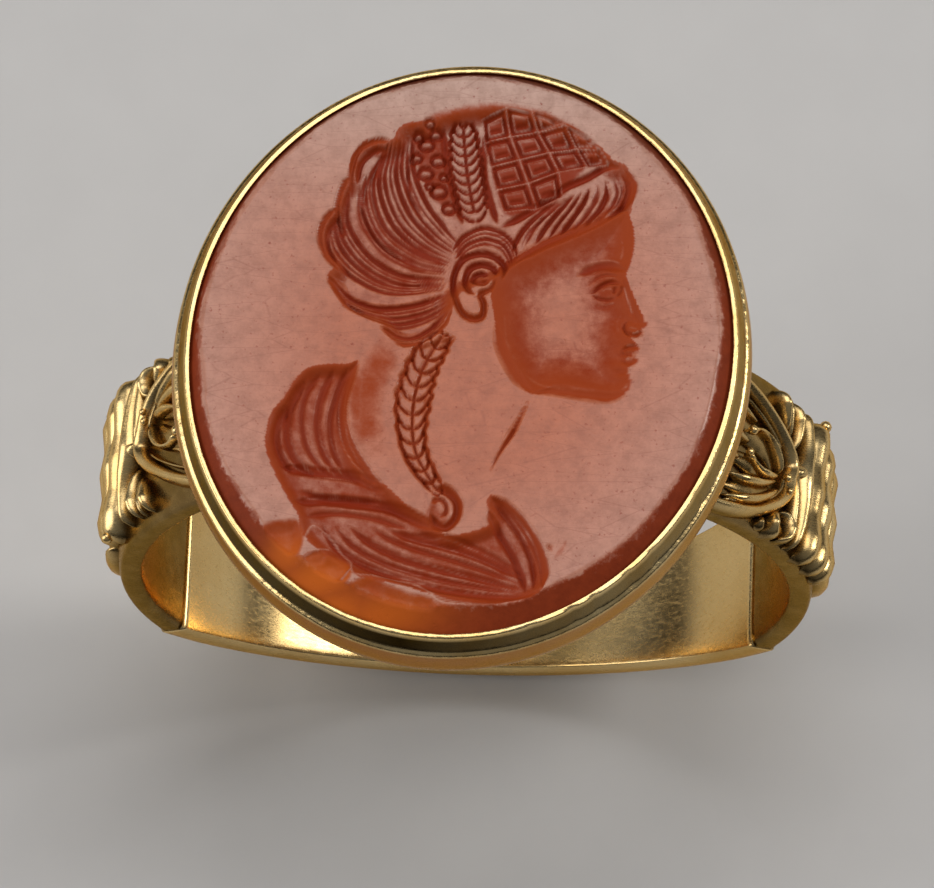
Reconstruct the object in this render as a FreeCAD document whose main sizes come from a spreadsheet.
import FreeCAD, Part
import math
import os
from FreeCAD import Rotation, Vector

# Gold finger ring with an oval engraved stone in a rub-over bezel and leaf shoulders.
# Origin at the centre of the finger bore, +Y along the bore, +Z out through the stone.
# Angles on the band are counted round the bore from +X towards the stone.

doc = FreeCAD.newDocument("IntaglioRing")

# Lengths in millimetres, angles in degrees
driving_sizes = {
    "finger_radius": 8.875,
    "shank_thickness": 1.3,
    "shank_edge_thickness": 0.75,
    "shank_back_width": 2.8,
    "tail_angle": 26.0,
    "shoulder_width": 4.6,
    "shoulder_thickness": 0.75,
    "head_angle": 74.0,
    "neck_angle": 46.0,
    "neck_reach": 5.4,
    "neck_hollow": 0.25,
    "plate_clearance": 0.225,
    "plate_thickness": 0.6,
    "plate_chamfer": 0.2,
    "plate_inset": 0.1,
    "opening_half_width": 7.13,
    "opening_half_length": 7.98,
    "lean_angle": 9.0,
    "seat_height": 0.4,
    "seat_width": 1.1,
    "stone_thickness": 2.48,
    "stone_girdle_height": 0.35,
    "stone_bevel_drop": 0.62,
    "stone_contact_drop": 0.435,
    "table_inset": 0.42,
    "table_shift_across": -0.09,
    "table_shift_along": 0.18,
    "stone_foot_taper": 0.77,
    "lip_cover": 0.17,
    "lip_width": 0.13,
    "lip_below_table": 0.28,
    "setting_clearance": 0.03,
    "hollow_depth": 0.26,
    "hollow_floor_share": 0.7,
    "crown_across": 0.15,
    "crown_along": 4.99,
    "crown_half_length": 2.16,
    "crown_half_width": 1.67,
    "crown_turn_angle": 1.0,
    "back_hair_across": -2.67,
    "back_hair_along": 3.14,
    "back_hair_half_length": 2.46,
    "back_hair_half_width": 1.67,
    "back_hair_turn_angle": 85.0,
    "nape_hair_across": -2.10,
    "nape_hair_along": 0.86,
    "nape_hair_half_length": 1.32,
    "nape_hair_half_width": 0.75,
    "nape_hair_turn_angle": 9.0,
    "front_roll_across": 2.23,
    "front_roll_along": 4.30,
    "front_roll_half_length": 1.83,
    "front_roll_half_width": 0.71,
    "front_roll_turn_angle": 39.0,
    "face_across": 2.40,
    "face_along": 1.52,
    "face_half_length": 2.26,
    "face_half_width": 1.67,
    "face_turn_angle": 114.0,
    "plait_upper_across": -0.97,
    "plait_upper_along": -0.85,
    "plait_upper_half_length": 1.32,
    "plait_upper_half_width": 0.40,
    "plait_upper_turn_angle": 75.0,
    "plait_lower_across": -0.78,
    "plait_lower_along": -3.16,
    "plait_lower_half_length": 1.22,
    "plait_lower_half_width": 0.41,
    "plait_lower_turn_angle": -59.0,
    "cloak_back_across": -3.57,
    "cloak_back_along": -3.10,
    "cloak_back_half_length": 2.02,
    "cloak_back_half_width": 1.20,
    "cloak_back_turn_angle": 101.0,
    "cloak_front_across": -0.26,
    "cloak_front_along": -5.84,
    "cloak_front_half_length": 3.20,
    "cloak_front_half_width": 0.92,
    "cloak_front_turn_angle": -8.0,
    "lapel_across": 2.09,
    "lapel_along": -5.16,
    "lapel_half_length": 1.41,
    "lapel_half_width": 0.56,
    "lapel_turn_angle": -53.0,
    "wall_thickness": 0.42,
    "wall_facet_run": 0.37,
    "wall_facet_drop": 0.55,
    "wall_bulge": 0.53,
    "wall_bulge_drop": 1.1,
    "reed_pitch_angle": 5.8,
    "first_reed_angle": 24.2,
    "reed_height": 0.62,
    "reed_valley_height": 0.22,
    "reed_end_radius": 0.55,
    "reed_end_height": 0.2,
    "reed_overhang": 0.1,
    "reed_slant_angle": 12.0,
    "cusp_length": 0.55,
    "cusp_radius": 0.26,
    "rim_apex_angle": 27.8,
    "rim_length": 4.4,
    "rim_width": 0.3,
    "rim_height": 0.45,
    "palmette_hub_angle": 30.8,
    "palmette_hub_radius": 0.28,
    "palmette_hub_height": 0.4,
    "petal_length": 2.3,
    "petal_half_width": 0.3,
    "petal_height": 0.5,
    "frond_reach": 1.3,
    "frond_bead_radius": 0.22,
    "frond_bead_height": 0.4,
    "inner_frond_radius": 0.55,
    "inner_frond_half_width": 0.13,
    "inner_frond_height": 0.26,
    "outer_frond_radius": 0.92,
    "outer_frond_half_width": 0.16,
    "outer_frond_height": 0.32,
    "frond_sweep_angle": 128.0,
    "scroll_angle": 30.2,
    "scroll_radius": 0.62,
    "scroll_half_width": 0.28,
    "scroll_height": 0.42,
    "stud_top_share": 0.5,
    "scroll_bead_radius": 0.37,
    "scroll_bead_height": 0.5,
    "scroll_lobe_radius": 0.34,
    "scroll_edge_gap": 0.12,
    "scroll_root_angle": -40.0,
    "scroll_tip_angle": 165.0,
    "leaf_start_angle": 1.5,
    "leaf_length": 4.4,
    "leaf_half_width": 0.62,
    "leaf_height": 0.56,
    "leaf_edge_height": 0.14,
    "side_leaf_length": 2.7,
    "side_leaf_half_width": 0.42,
    "side_leaf_offset": 1.2,
    "tool_overrun": 9.2,
}
reed_count = 4
wall_levels = 4
wheel_hollows = ("crown", "back_hair", "nape_hair", "front_roll", "face",
                 "plait_upper", "plait_lower", "cloak_back", "cloak_front", "lapel")

sheet = doc.addObject("Spreadsheet::Sheet", "Sizes")
for row, (name, size) in enumerate(driving_sizes.items(), start=1):
    sheet.set("A%d" % row, name)
    sheet.set("B%d" % row, str(size))
    sheet.setAlias("B%d" % row, name)
doc.recompute()


def cell(name):
    return float(sheet.get(name))


# Heights up the bezel, worked out from the driving sizes
bore = cell("finger_radius")
core_radius = bore + cell("shoulder_thickness")
plate_bottom = bore + cell("plate_clearance")
plate_top = plate_bottom + cell("plate_thickness")
stone_bottom = plate_top + cell("seat_height")
stone_top = stone_bottom + cell("stone_thickness")
girdle_top = stone_top - cell("stone_bevel_drop")
girdle_bottom = girdle_top - cell("stone_girdle_height")
lip_top = stone_top - cell("lip_below_table")
half_width = cell("opening_half_width")
half_length = cell("opening_half_length")
band_half = cell("shoulder_width") / 2
overrun = cell("tool_overrun")

core_formula = "Sizes.finger_radius + Sizes.shoulder_thickness"


def round_bore(radius, angle, across=0.0):
    turn = math.radians(angle)
    return Vector(radius * math.cos(turn), across, radius * math.sin(turn))


def arc_degrees(length, radius):
    return math.degrees(length / radius)


def origin_part(body, role):
    return next(part for part in body.Origin.OriginFeatures if part.Role == role)


def new_body(label):
    body = doc.addObject("PartDesign::Body", label)
    body.Label = label
    return body


def new_sketch(body, name, role, height=None):
    sketch = body.newObject("Sketcher::SketchObject", name)
    sketch.AttachmentSupport = (origin_part(body, role), [""])
    sketch.MapMode = "FlatFace"
    if height:
        sketch.setExpression("AttachmentOffset.Base.z", height)
    return sketch


def draw_line(sketch, start, end):
    sketch.addGeometry(Part.LineSegment(Vector(*start, 0), Vector(*end, 0)), False)


def draw_arc(sketch, start, middle, end):
    sketch.addGeometry(Part.Arc(Vector(*start, 0), Vector(*middle, 0), Vector(*end, 0)), False)


def draw_oval(sketch, growth):
    across = half_width + growth
    along = half_length + growth
    ends = [Vector(0, along, 0), Vector(across, 0, 0)]
    longer, shorter = ends if along > across else reversed(ends)
    sketch.addGeometry(Part.Ellipse(longer, shorter, Vector(0, 0, 0)), False)


# One oval for each level: its height, and how far it stands outside the opening
def level_sketches(body, name, levels):
    sketches = []
    for number, (level, growth) in enumerate(levels, start=1):
        sketch = new_sketch(body, "%sLevel%d" % (name, number), "XY_Plane")
        sketch.AttachmentOffset.Base = Vector(0, 0, level)
        draw_oval(sketch, growth)
        sketches.append(sketch)
    doc.recompute()
    return sketches


# Degrees by which the slanted reeds run on towards the stone at a place across the band
def slant_degrees(across):
    return -arc_degrees(across * math.tan(math.radians(cell("reed_slant_angle"))), core_radius)


def lean_with_stone(body):
    body.Placement.Rotation = Rotation(Vector(0, 0, 1), -cell("lean_angle"))


# Back of the ring: a domed section turned about the bore, its sides cut in towards the back
def make_hoop():
    body = new_body("hoop")
    section = new_sketch(body, "HoopSection", "YZ_Plane")
    inner = -bore
    edge = -bore - cell("shank_edge_thickness")
    crown = -bore - cell("shank_thickness")
    draw_line(section, (-band_half, edge), (-band_half, inner))
    draw_line(section, (-band_half, inner), (band_half, inner))
    draw_line(section, (band_half, inner), (band_half, edge))
    draw_arc(section, (band_half, edge), (0, crown), (-band_half, edge))
    turned = body.newObject("PartDesign::Revolution", "HoopTurned")
    turned.Profile = (section, [""])
    turned.ReferenceAxis = (origin_part(body, "Y_Axis"), [""])
    turned.Midplane = True
    turned.setExpression("Angle", "180 - 2 * Sizes.tail_angle")
    doc.recompute()
    reach = core_radius * math.cos(math.radians(cell("tail_angle")))
    back_half = cell("shank_back_width") / 2
    sides = new_sketch(body, "HoopSides", "XY_Plane")
    for side in (-1, 1):
        end_left = (-reach, side * band_half)
        end_right = (reach, side * band_half)
        far_left = (-reach, side * (band_half + overrun))
        far_right = (reach, side * (band_half + overrun))
        draw_arc(sides, end_left, (0, side * back_half), end_right)
        draw_line(sides, end_right, far_right)
        draw_line(sides, far_right, far_left)
        draw_line(sides, far_left, end_left)
    trimmed = body.newObject("PartDesign::Pocket", "HoopTapered")
    trimmed.Profile = (sides, [""])
    trimmed.Type = "ThroughAll"
    trimmed.SideType = "Symmetric"
    doc.recompute()
    return body


# Curved strip under the ornament, from the hoop's end up to the plate under the stone
def make_shoulder(label):
    body = new_body(label)
    side_view = new_sketch(body, label + "_side", "XZ_Plane")
    tail = -cell("tail_angle")
    head = cell("head_angle")
    neck = cell("neck_angle")
    reach = cell("neck_reach")

    def at(radius, angle):
        point = round_bore(radius, angle)
        return point.x, point.z

    head_inner = at(bore, head)
    head_outer = (head_inner[0], plate_bottom)
    neck_top = (reach, plate_bottom)
    neck_foot = at(core_radius, neck)
    hollow = cell("neck_hollow")
    neck_middle = (
        (neck_top[0] + neck_foot[0]) / 2 - hollow,
        (neck_top[1] + neck_foot[1]) / 2 - hollow,
    )
    draw_arc(side_view, at(bore, tail), at(bore, (tail + head) / 2), head_inner)
    draw_line(side_view, head_inner, head_outer)
    draw_line(side_view, head_outer, neck_top)
    draw_arc(side_view, neck_top, neck_middle, neck_foot)
    draw_arc(side_view, neck_foot, at(core_radius, (tail + neck) / 2), at(core_radius, tail))
    draw_line(side_view, at(core_radius, tail), at(bore, tail))
    strip = body.newObject("PartDesign::Pad", label + "_strip")
    strip.Profile = (side_view, [""])
    strip.SideType = "Symmetric"
    strip.setExpression("Length", "Sizes.shoulder_width")
    doc.recompute()
    return body


# Flat oval that closes the back of the bezel
def make_base_plate():
    body = new_body("base_plate")
    outline = new_sketch(body, "PlateOutline", "XY_Plane", "Sizes.finger_radius + Sizes.plate_clearance")
    draw_oval(outline, -cell("plate_inset"))
    plate = body.newObject("PartDesign::Pad", "Plate")
    plate.Profile = (outline, [""])
    plate.setExpression("Length", "Sizes.plate_thickness")
    doc.recompute()
    rim = [
        "Edge%d" % number
        for number, edge in enumerate(plate.Shape.Edges, start=1)
        if edge.BoundBox.ZMax < (plate_bottom + plate_top) / 2
    ]
    eased = body.newObject("PartDesign::Chamfer", "PlateEased")
    eased.Base = (plate, rim)
    eased.setExpression("Size", "Sizes.plate_chamfer")
    doc.recompute()
    lean_with_stone(body)
    return body


# Oval bearing that the stone rests on
def make_seat_ring():
    body = new_body("seat_ring")
    outer_growth = cell("lip_cover") - cell("stone_foot_taper")
    outline = new_sketch(
        body,
        "SeatOutline",
        "XY_Plane",
        "Sizes.finger_radius + Sizes.plate_clearance + Sizes.plate_thickness",
    )
    draw_oval(outline, outer_growth)
    draw_oval(outline, outer_growth - cell("seat_width"))
    ring = body.newObject("PartDesign::Pad", "SeatRing")
    ring.Profile = (outline, [""])
    ring.setExpression("Length", "Sizes.seat_height")
    doc.recompute()
    lean_with_stone(body)
    return body


# Hollow of the engraving: an oval sunk into the table, its wall leaning in to a smaller floor
def sink_hollow(body, name):
    depth = cell("hollow_depth")
    floor_share = cell("hollow_floor_share")
    turn = math.radians(cell(name + "_turn_angle"))
    middle = Vector(cell(name + "_across"), cell(name + "_along"), 0)
    length = Vector(math.cos(turn), math.sin(turn), 0).multiply(cell(name + "_half_length"))
    width = Vector(-math.sin(turn), math.cos(turn), 0).multiply(cell(name + "_half_width"))
    sketches = []
    for step in (-1, 1):
        share = 1 - step * (1 - floor_share)
        sketch = new_sketch(body, "%s_oval%d" % (name, step + 2), "XY_Plane")
        sketch.AttachmentOffset.Base = Vector(0, 0, stone_top - step * depth)
        oval = Part.Ellipse(middle + length * share, middle + width * share, middle)
        sketch.addGeometry(oval, False)
        sketches.append(sketch)
    doc.recompute()
    hollow = body.newObject("PartDesign::SubtractiveLoft", name + "_hollow")
    hollow.Profile = (sketches[0], [""])
    hollow.Sections = [(sketches[1], [""])]
    hollow.Ruled = True
    doc.recompute()


# Stone: a tapered foot, an upright girdle, a bevel to an off-centre table, and the engraving
def make_stone():
    body = new_body("intaglio_gem")
    girdle = cell("lip_cover")
    levels = (
        (stone_bottom, girdle - cell("stone_foot_taper")),
        (girdle_bottom, girdle),
        (girdle_top, girdle),
        (stone_top - cell("stone_contact_drop"), 0),
        (stone_top, -cell("table_inset")),
    )
    sketches = level_sketches(body, "Stone", levels)
    table = Vector(cell("table_shift_across"), cell("table_shift_along"), stone_top)
    sketches[-1].AttachmentOffset.Base = table
    doc.recompute()
    cut = body.newObject("PartDesign::AdditiveLoft", "StoneCut")
    cut.Profile = (sketches[0], [""])
    cut.Sections = [(sketch, [""]) for sketch in sketches[1:]]
    cut.Ruled = True
    doc.recompute()
    for name in wheel_hollows:
        sink_hollow(body, name)
    lean_with_stone(body)
    return body


# Rub-over wall: oval levels joined outside, then the stone's seat cut out of it
def make_collar():
    body = new_body("bezel_collar")
    gap = cell("setting_clearance")
    girdle = cell("lip_cover") + gap
    foot = cell("lip_cover") - cell("stone_foot_taper") + gap
    lip_contact = stone_top - cell("stone_contact_drop") + gap
    lip_width = cell("lip_width")
    facet_end = Vector(cell("wall_facet_run"), 0, lip_top - cell("wall_facet_drop"))
    bulge = Vector(cell("wall_bulge"), 0, lip_top - cell("wall_bulge_drop"))
    wall_foot = Vector(foot + cell("wall_thickness"), 0, plate_top)
    swell = Part.Arc(wall_foot, bulge, facet_end).toShape().discretize(wall_levels)
    outside = [(point.z, point.x) for point in swell]
    outside.append(((lip_top + lip_contact) / 2, lip_width))
    outside.append((lip_top, lip_width / 2))
    inside = [
        (plate_top, foot),
        (stone_bottom, foot),
        (girdle_bottom, girdle),
        (girdle_top, girdle),
        (lip_contact, 0.0),
        (lip_top, 0.0),
    ]
    for kind, name, levels in (
        ("PartDesign::AdditiveLoft", "Wall", outside),
        ("PartDesign::SubtractiveLoft", "Seat", inside),
    ):
        sketches = level_sketches(body, "Collar" + name, levels)
        loft = body.newObject(kind, "Collar" + name)
        loft.Profile = (sketches[0], [""])
        loft.Sections = [(sketch, [""]) for sketch in sketches[1:]]
        loft.Ruled = True
        doc.recompute()
    lean_with_stone(body)
    return body


# Solids that trim the ornament to the band: everything inside the strip's outer face
def core_cylinder(name):
    core = doc.addObject("Part::Cylinder", name)
    core.setExpression("Radius", core_formula)
    core.setExpression("Height", "2 * Sizes.tool_overrun")
    core.Placement = FreeCAD.Placement(Vector(0, overrun, 0), Rotation(Vector(1, 0, 0), 90))
    return core


def seat_on_band(label, pieces, carriers, turn):
    seated = pieces[0]
    if len(pieces) > 1:
        seated = doc.addObject("Part::MultiFuse", label + "_joined")
        seated.Shapes = pieces
    for number, carrier in enumerate(carriers, start=1):
        last = number == len(carriers)
        trimmed = doc.addObject("Part::Cut", label if last else "%s_trim%d" % (label, number))
        trimmed.Base = seated
        trimmed.Tool = carrier
        seated = trimmed
    seated.Label = label
    seated.Placement = FreeCAD.Placement(Vector(0, 0, 0), Rotation(Vector(0, 0, 1), turn))
    doc.recompute()
    return seated


# Place on the band: local x runs down the shoulder, y across it and z out of it
def band_frame(angle, across):
    return FreeCAD.Placement(
        round_bore(core_radius, angle, across), Rotation(Vector(0, 1, 0), 90 - angle)
    )


# Curled strand with a ridge along it, turned about the middle of its curl
def add_curl(name, sizes, sweep, frame, side, middle):
    radius = cell(sizes + "_radius")
    half = cell(sizes + "_half_width")
    height = cell(sizes + "_height")
    body = new_body(name)
    ridge = new_sketch(body, name + "_ridge", "XZ_Plane")
    inner = (radius - 2 * half, -height)
    crest = (radius, height)
    outer = (radius + 2 * half, -height)
    draw_line(ridge, inner, crest)
    draw_line(ridge, crest, outer)
    draw_line(ridge, outer, inner)
    curl = body.newObject("PartDesign::Revolution", name + "_curl")
    curl.Profile = (ridge, [""])
    curl.ReferenceAxis = (origin_part(body, "Z_Axis"), [""])
    curl.Midplane = True
    curl.setExpression("Angle", sweep)
    facing = Rotation(Vector(0, 0, 1), side * middle)
    body.Placement = frame.multiply(FreeCAD.Placement(Vector(0, 0, 0), facing))
    return body


# Small cone that ends a strand
def add_stud(name, radius_name, height_name, angle, across):
    stud = doc.addObject("Part::Cone", name)
    stud.setExpression("Radius1", "Sizes." + radius_name)
    stud.setExpression("Radius2", "Sizes.%s * Sizes.stud_top_share" % radius_name)
    stud.setExpression("Height", "Sizes." + height_name)
    stud.Placement = band_frame(angle, across)
    return stud


# Pointed leaf: where two upright cylinders cross, under a crown that follows the band
def add_leaf(name, start_angle, across, length_name, half_width_name, height_name):
    length = cell(length_name)
    half = cell(half_width_name)
    middle = start_angle - arc_degrees(length / 2, core_radius)
    outline_radius = (length * length / 4 + half * half) / (2 * half)
    sides = []
    for side in (-1, 1):
        wall = doc.addObject("Part::Cylinder", name + ("_near" if side < 0 else "_far"))
        wall.Radius = outline_radius
        wall.Height = 2 * overrun
        centre = FreeCAD.Placement(Vector(0, side * (outline_radius - half), -overrun), Rotation())
        wall.Placement = band_frame(middle, across).multiply(centre)
        sides.append(wall)
    slopes = []
    for side in (-1, 1):
        slope = doc.addObject("Part::Cone", name + ("_slope_near" if side < 0 else "_slope_far"))
        slope.setExpression("Radius1", "%s + Sizes.%s" % (core_formula, height_name))
        slope.setExpression(
            "Radius2", "%s + 2 * Sizes.leaf_edge_height - Sizes.%s" % (core_formula, height_name)
        )
        slope.setExpression("Height", "2 * Sizes." + half_width_name)
        slope.Placement = FreeCAD.Placement(Vector(0, across, 0), Rotation(Vector(1, 0, 0), -90 * side))
        slopes.append(slope)
    crown = doc.addObject("Part::MultiFuse", name + "_crown")
    crown.Shapes = slopes
    leaf = doc.addObject("Part::MultiCommon", name)
    leaf.Shapes = sides + [crown]
    return leaf


# Fan of curled leaves inside the rim, growing from one hub towards the stone
def make_palmette(label, core, rim, turn):
    hub_angle = cell("palmette_hub_angle")
    pieces = [add_stud(label + "_hub", "palmette_hub_radius", "palmette_hub_height", hub_angle, 0)]
    petal_end = hub_angle + arc_degrees(cell("petal_length"), core_radius)
    pieces.append(
        add_leaf(label + "_petal", petal_end, 0, "petal_length", "petal_half_width", "petal_height")
    )
    sweep = math.radians(cell("frond_sweep_angle"))
    centre_angle = hub_angle + arc_degrees(cell("frond_reach"), core_radius)
    frame = band_frame(centre_angle, 0)
    for pair in ("inner_frond", "outer_frond"):
        name = "%s_%s" % (label, pair)
        pieces.append(add_curl(name, pair, "2 * Sizes.frond_sweep_angle", frame, 1, 0))
    radius = cell("outer_frond_radius")
    tip_angle = centre_angle - arc_degrees(radius * math.cos(sweep), core_radius)
    for side in (-1, 1):
        name = label + ("_bead_near" if side < 0 else "_bead_far")
        across = side * radius * math.sin(sweep)
        pieces.append(add_stud(name, "frond_bead_radius", "frond_bead_height", tip_angle, across))
    return seat_on_band(label, pieces, [core, rim], turn)


# Pointed arch of raised gold round the palmette, open towards the stone
def make_raised_rim(label):
    length = cell("rim_length")
    width = cell("rim_width")
    middle = cell("rim_apex_angle") + arc_degrees(length / 2, core_radius)
    frame = band_frame(middle, 0)
    outer_radius = (length * length + band_half * band_half) / (2 * band_half)
    spring = -length / 2
    faces = []
    for radius in (outer_radius, outer_radius - width):
        lobes = []
        for side in (-1, 1):
            centre = Vector(spring, side * (outer_radius - band_half), -overrun)
            lobes.append(Part.makeCylinder(radius, 2 * overrun, centre))
        faces.append(lobes[0].common(lobes[1]))
    shape = faces[0].cut(faces[1])
    open_side = Part.makeBox(length, 4 * band_half, 2 * overrun, Vector(spring, -2 * band_half, -overrun))
    arch = doc.addObject("Part::Feature", label + "_arch")
    arch.Shape = shape.common(open_side)
    arch.Placement = frame
    skin = doc.addObject("Part::Cylinder", label + "_skin")
    skin.setExpression("Radius", core_formula + " + Sizes.rim_height")
    skin.setExpression("Height", "2 * Sizes.tool_overrun")
    skin.Placement = FreeCAD.Placement(Vector(0, overrun, 0), Rotation(Vector(1, 0, 0), 90))
    raised = doc.addObject("Part::MultiCommon", label + "_raised")
    raised.Shapes = [arch, skin]
    doc.recompute()
    return raised


# Curled lobes on one edge of the band, beside the rim's point
def make_scroll(label, side, core, turn):
    radius = cell("scroll_radius")
    half = cell("scroll_half_width")
    across = side * (band_half - radius - half + cell("scroll_edge_gap"))
    angle = cell("scroll_angle") + slant_degrees(across)
    frame = band_frame(angle, across)
    root = cell("scroll_root_angle")
    tip = cell("scroll_tip_angle")
    sweep = "Sizes.scroll_tip_angle - Sizes.scroll_root_angle"
    pieces = [add_curl(label + "_strand", "scroll", sweep, frame, side, (root + tip) / 2)]

    def end_of_curl(place):
        direction = math.radians(side * place)
        down = arc_degrees(radius * math.cos(direction), core_radius)
        return angle - down, across + radius * math.sin(direction)

    pieces.append(add_stud(label + "_bead", "scroll_bead_radius", "scroll_bead_height", *end_of_curl(tip)))
    pieces.append(add_stud(label + "_lobe", "scroll_lobe_radius", "scroll_height", *end_of_curl(root)))
    return seat_on_band(label, pieces, [core], turn)


# Block of reeds across the band, rounded down at both ends, with a cusp on the first reed
def make_reeds(label, core, turn):
    body = new_body(label + "_block")
    side_view = new_sketch(body, label + "_side", "XZ_Plane")
    pitch = cell("reed_pitch_angle")
    first = cell("first_reed_angle")
    crest = core_radius + cell("reed_height")
    valley = core_radius + cell("reed_valley_height")
    buried = core_radius - cell("reed_valley_height")
    start = first + pitch / 2
    end = start - reed_count * pitch

    def at(radius, angle):
        point = round_bore(radius, angle)
        return point.x, point.z

    for reed in range(reed_count):
        top = start - reed * pitch
        draw_arc(side_view, at(valley, top), at(crest, top - pitch / 2), at(valley, top - pitch))
    draw_line(side_view, at(valley, end), at(buried, end))
    draw_arc(side_view, at(buried, end), at(buried, (start + end) / 2), at(buried, start))
    draw_line(side_view, at(buried, start), at(valley, start))
    block = body.newObject("PartDesign::Pad", label + "_pad")
    block.Profile = (side_view, [""])
    block.SideType = "Symmetric"
    block.setExpression("Length", "Sizes.shoulder_width + 2 * Sizes.reed_overhang")
    doc.recompute()
    ends = new_sketch(body, label + "_ends", "XY_Plane")
    half = band_half + cell("reed_overhang")
    end_radius = cell("reed_end_radius")
    low = core_radius + cell("reed_end_height")
    mid_share = 1 - math.cos(math.pi / 4)
    for side in (-1, 1):
        inner = (crest, side * (half - end_radius))
        outer = (low, side * half)
        middle = (
            crest - (crest - low) * mid_share,
            side * (half - end_radius * mid_share),
        )
        corner_in = (crest + end_radius, side * (half - end_radius))
        far = (low, side * (half + end_radius))
        far_corner = (crest + end_radius, side * (half + end_radius))
        draw_arc(ends, inner, middle, outer)
        draw_line(ends, outer, far)
        draw_line(ends, far, far_corner)
        draw_line(ends, far_corner, corner_in)
        draw_line(ends, corner_in, inner)
    rounded = body.newObject("PartDesign::Groove", label + "_rounded")
    rounded.Profile = (ends, [""])
    rounded.ReferenceAxis = (origin_part(body, "Y_Axis"), [""])
    rounded.Angle = 360
    doc.recompute()
    slant = Rotation(round_bore(1, (start + end) / 2), -cell("reed_slant_angle"))
    body.Placement = FreeCAD.Placement(Vector(0, 0, 0), slant)
    cusp = doc.addObject("Part::Cone", label + "_cusp")
    cusp.setExpression("Radius1", "Sizes.cusp_radius")
    cusp.Radius2 = 0
    cusp.setExpression("Height", "Sizes.cusp_length")
    at_first = band_frame(start, 0)
    cusp.Placement = at_first.multiply(FreeCAD.Placement(Vector(0, 0, 0), Rotation(Vector(0, 1, 0), -90)))
    return seat_on_band(label, [body, cusp], [core], turn)


# Leaf that runs from the reeds towards the back of the ring
def make_tail_leaf(label, core, hoop, turn):
    start = cell("leaf_start_angle")
    offset = cell("side_leaf_offset")
    pieces = [add_leaf(label + "_middle", start, 0, "leaf_length", "leaf_half_width", "leaf_height")]
    for side in (-1, 1):
        name = label + ("_near" if side < 0 else "_far")
        across = side * offset
        tip = start + slant_degrees(across)
        pieces.append(
            add_leaf(name, tip, across, "side_leaf_length", "side_leaf_half_width", "leaf_height")
        )
    return seat_on_band(label, pieces, [core, hoop], turn)


nodes = [make_hoop(), make_base_plate(), make_seat_ring(), make_stone(), make_collar()]
core = core_cylinder("BandCore")
carrier = None
for hand, turn in (("right", 0), ("left", 180)):
    shoulder = make_shoulder("shoulder_" + hand)
    shoulder.Placement.Rotation = Rotation(Vector(0, 0, 1), turn)
    carrier = carrier or shoulder
    rim = make_raised_rim("rim_arch_" + hand)
    nodes.append(shoulder)
    nodes.append(seat_on_band("rim_arch_" + hand, [rim], [core, carrier], turn))
    nodes.append(make_palmette("palmette_" + hand, core, rim, turn))
    upper = 1 if turn == 0 else -1
    nodes.append(make_scroll("scroll_upper_" + hand, upper, core, turn))
    nodes.append(make_scroll("scroll_lower_" + hand, -upper, core, turn))
    nodes.append(make_reeds("reeded_collar_" + hand, core, turn))
    nodes.append(make_tail_leaf("tail_leaf_" + hand, core, nodes[0], turn))
doc.recompute()

faults = [item.Name for item in doc.Objects if "Invalid" in item.State or "Error" in item.State]
for node in nodes:
    if node.Shape.isNull() or not node.Shape.isValid():
        faults.append(node.Label)
if faults:
    raise RuntimeError("these did not build: " + ", ".join(faults))

os.makedirs("parts", exist_ok=True)
for node in nodes:
    node.Shape.exportStep("parts/%s.step" % node.Label)
    print("%-24s %2d solid %8.3f mm3" % (node.Label, len(node.Shape.Solids), node.Shape.Volume))
